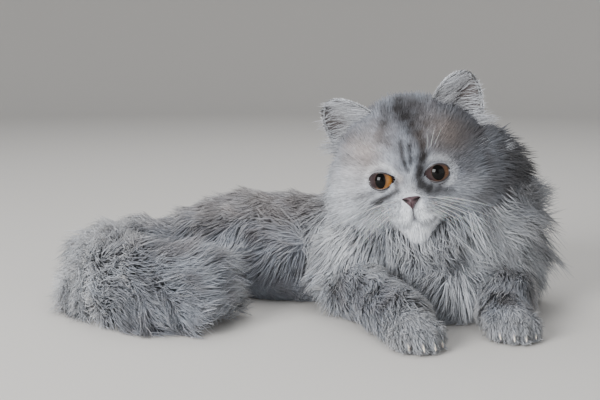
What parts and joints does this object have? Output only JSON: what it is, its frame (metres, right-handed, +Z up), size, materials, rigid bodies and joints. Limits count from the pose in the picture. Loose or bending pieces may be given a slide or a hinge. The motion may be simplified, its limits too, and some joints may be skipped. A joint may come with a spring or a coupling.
{
  "type": "persian cat",
  "caption": "Young long-haired silver tabby cat lying on its chest, forepaws forward, head turned a little, bushy tail swept round beside it.",
  "frame": {"origin": "on the floor, under the middle of the whole cat's bounding box", "axes": "+X is the cat's left along its length from tail to head side, +Y runs from the forepaws to the back, +Z is up"},
  "size_m": [0.4064, 0.2938, 0.1896],
  "materials": {
    "coat_silver": "long soft fur, silver tabby",
    "coat_pale": "long soft fur, pale silver",
    "coat_dark": "long soft fur, dark blue-grey",
    "eye": "wet copper iris with a wide black pupil",
    "nose_leather": "moist dusty mauve skin"
  },
  "bodies": {
    "root": {"chest": "coat_pale", "ear_left": "coat_pale", "ear_right": "coat_pale", "eye_left": "eye", "eye_right": "eye", "forearm_left": "coat_silver", "forearm_right": "coat_silver", "forepaw_left": "coat_pale", "forepaw_right": "coat_pale", "head": "coat_silver", "hindfoot_left": "coat_pale", "hindfoot_right": "coat_pale", "hips": "coat_dark", "neck": "coat_pale", "nose": "nose_leather", "tail_base": "coat_dark", "tail_middle": "coat_pale", "tail_tip": "coat_pale", "thigh_left": "coat_dark", "thigh_right": "coat_dark", "torso": "coat_dark", "upper_arm_left": "coat_silver", "upper_arm_right": "coat_silver"}
  },
  "joints": []
}
